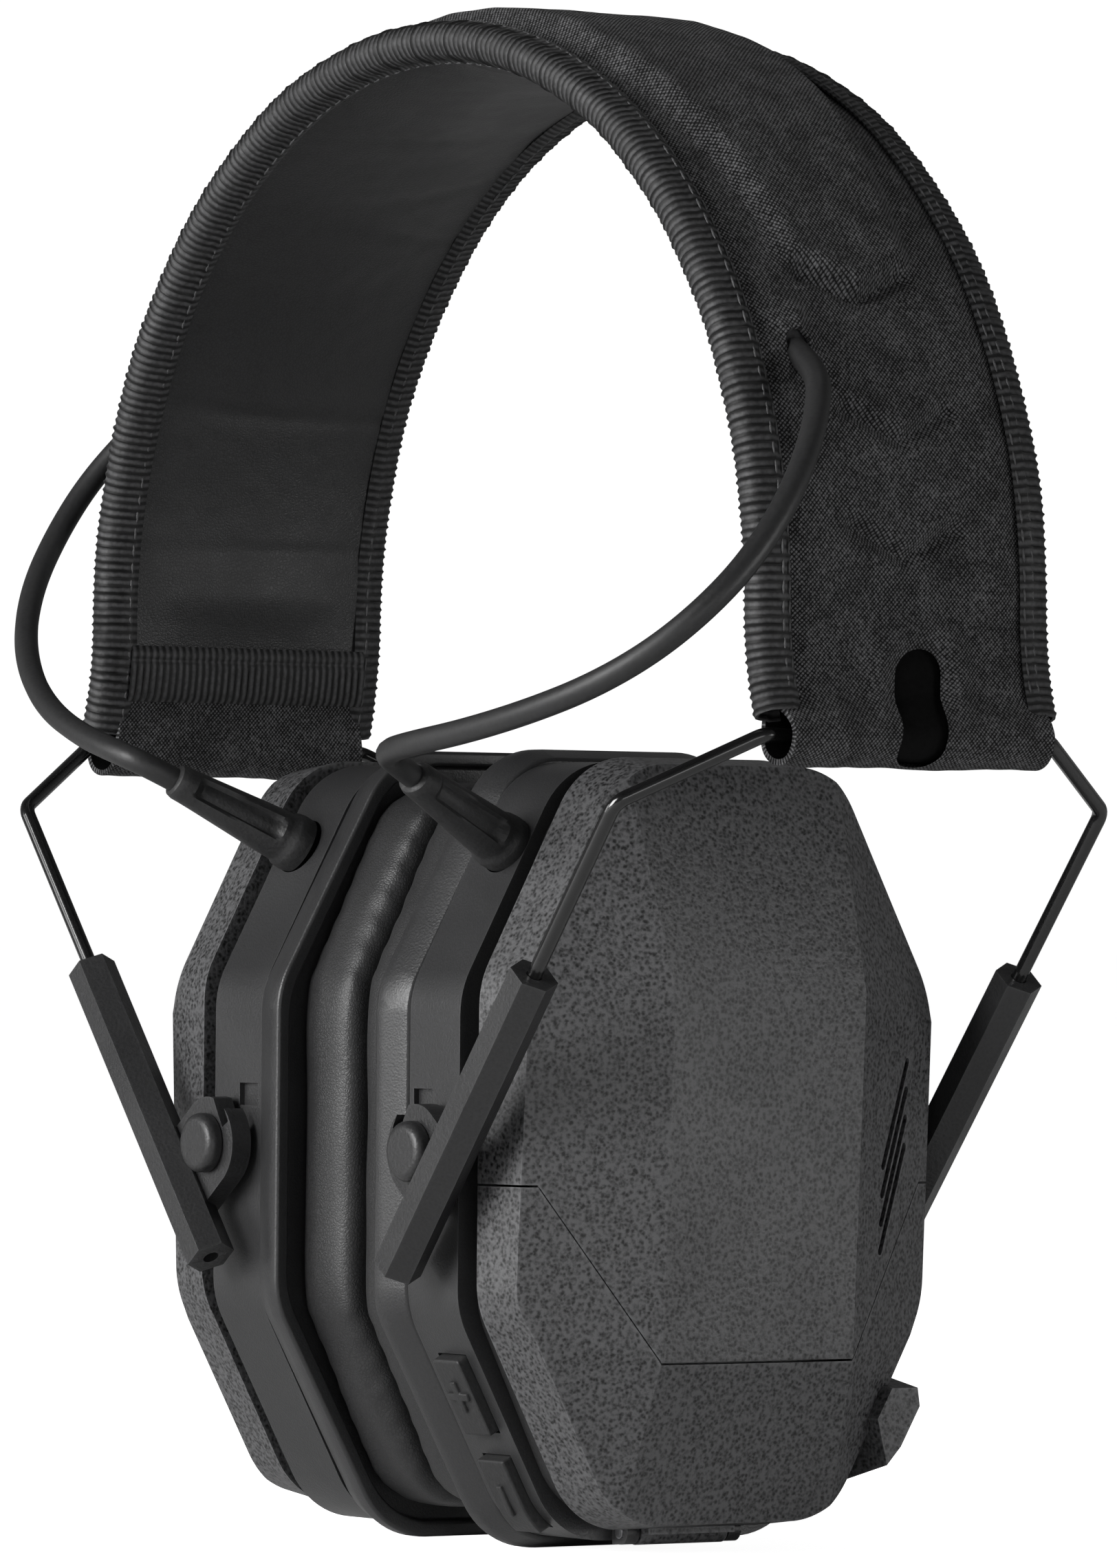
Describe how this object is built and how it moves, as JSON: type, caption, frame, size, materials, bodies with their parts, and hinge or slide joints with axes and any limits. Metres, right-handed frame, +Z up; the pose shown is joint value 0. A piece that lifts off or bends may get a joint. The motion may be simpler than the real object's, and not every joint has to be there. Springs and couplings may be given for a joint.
{
  "type": "earmuff hearing protector",
  "caption": "Over-head electronic earmuff: padded fabric headband, wire yokes with sliding arms, and faceted cups with a battery door and volume buttons.",
  "frame": {"origin": "bottom centre: midway between the cups and between front and rear, at the height of the surface that the cup flanges stand on", "axes": "+X to the wearer's right, +Y to the wearer's front, +Z up"},
  "size_m": [0.1752, 0.0949, 0.2057],
  "materials": {
    "shell": "fine-grained matte moulded plastic",
    "rim": "satin moulded plastic",
    "rubber": "satin black rubber",
    "leatherette": "soft black leatherette",
    "knit": "black knitted fabric",
    "binding": "ribbed black binding tape",
    "foam": "dark open-cell foam",
    "wire": "gloss black coated spring wire",
    "arm": "satin moulded nylon",
    "cord": "matt black cable jacket",
    "spring_steel": "bare spring steel",
    "steel": "plated steel",
    "board": "green solder mask",
    "cell": "plain battery wrap"
  },
  "bodies": {
    "headband": {"headband_cover": "knit", "headband_foam": "foam", "headband_inner_pad": "leatherette", "headband_spring": "spring_steel", "headband_crown_pad": "knit", "binding_front": "binding", "binding_rear": "binding", "crossover_lead": "cord", "hem_loop_right": "knit", "hem_loop_left": "knit", "hem_tape_right": "binding", "hem_tape_left": "binding", "cord_right": "cord", "cord_left": "cord"},
    "yoke_right": {"yoke_wire_right": "wire"},
    "arms_right": {"arm_front_right": "arm", "arm_rear_right": "arm"},
    "cup_right": {"flange_right": "rim", "rim_shell_right": "rim", "shell_gasket_right": "rubber", "outer_shell_right": "shell", "ear_cushion_right": "leatherette", "acoustic_foam_right": "foam", "driver_baffle_right": "rim", "speaker_driver_right": "rim", "pivot_studs_right": "arm", "cord_boot_right": "rubber", "circuit_board_right": "board", "microphone_right": "steel", "cup_screws_right": "steel", "battery_door_pin": "steel", "battery_tray": "rim", "battery_cells": "cell", "battery_contacts": "spring_steel"},
    "yoke_left": {"yoke_wire_left": "wire"},
    "arms_left": {"arm_front_left": "arm", "arm_rear_left": "arm"},
    "cup_left": {"flange_left": "rim", "rim_shell_left": "rim", "shell_gasket_left": "rubber", "outer_shell_left": "shell", "ear_cushion_left": "leatherette", "acoustic_foam_left": "foam", "driver_baffle_left": "rim", "speaker_driver_left": "rim", "pivot_studs_left": "arm", "cord_boot_left": "rubber", "circuit_board_left": "board", "mic_pod_left": "shell", "microphone_left": "steel", "cup_screws_left": "steel", "lower_cover_left": "shell"},
    "battery_door": {"battery_door": "shell", "mic_pod_right": "shell"},
    "volume_plus": {"volume_plus_button": "rubber"},
    "volume_minus": {"volume_minus_button": "rubber"}
  },
  "joints": [
    {"name": "yoke_swing_right", "type": "hinge", "parent": "headband", "child": "yoke_right", "pos_m": [0.079, 0, 0.107], "axis": [0, -1, 0], "range_deg": [0, 35], "stiffness_Nm_per_rad": 0.5, "springref_deg": -22.92},
    {"name": "arm_slide_right", "type": "slide", "parent": "yoke_right", "child": "arms_right", "axis": [0.6181, 0, 0.7861], "range_m": [0, 0.016], "deforming": ["cord_right"]},
    {"name": "cup_tilt_right", "type": "hinge", "parent": "arms_right", "child": "cup_right", "pos_m": [0.0245, 0, 0.053], "axis": [0, -1, 0], "range_deg": [-35, 0]},
    {"name": "yoke_swing_left", "type": "hinge", "parent": "headband", "child": "yoke_left", "pos_m": [-0.079, 0, 0.107], "axis": [0, 1, 0], "range_deg": [0, 35], "stiffness_Nm_per_rad": 0.5, "springref_deg": -22.92},
    {"name": "arm_slide_left", "type": "slide", "parent": "yoke_left", "child": "arms_left", "axis": [-0.6181, 0, 0.7861], "range_m": [0, 0.016], "deforming": ["cord_left"]},
    {"name": "cup_tilt_left", "type": "hinge", "parent": "arms_left", "child": "cup_left", "pos_m": [-0.0245, 0, 0.053], "axis": [0, 1, 0], "range_deg": [-35, 0]},
    {"name": "battery_door_hinge", "type": "hinge", "parent": "cup_right", "child": "battery_door", "pos_m": [0.0306, 0, 0.0029], "axis": [0, 1, 0], "range_deg": [0, 70]},
    {"name": "press_volume_plus", "type": "slide", "parent": "cup_right", "child": "volume_plus", "axis": [0, 0.8776, 0.4795], "range_m": [0, 0.0008], "stiffness_N_per_m": 800, "springref_m": -0.0008},
    {"name": "press_volume_minus", "type": "slide", "parent": "cup_right", "child": "volume_minus", "axis": [0, 0.8776, 0.4795], "range_m": [0, 0.0008], "stiffness_N_per_m": 800, "springref_m": -0.0008}
  ],
  "couplings": [
    {"joint": "cup_tilt_right", "follows": "yoke_swing_right", "ratio": -1},
    {"joint": "cup_tilt_left", "follows": "yoke_swing_left", "ratio": -1}
  ]
}
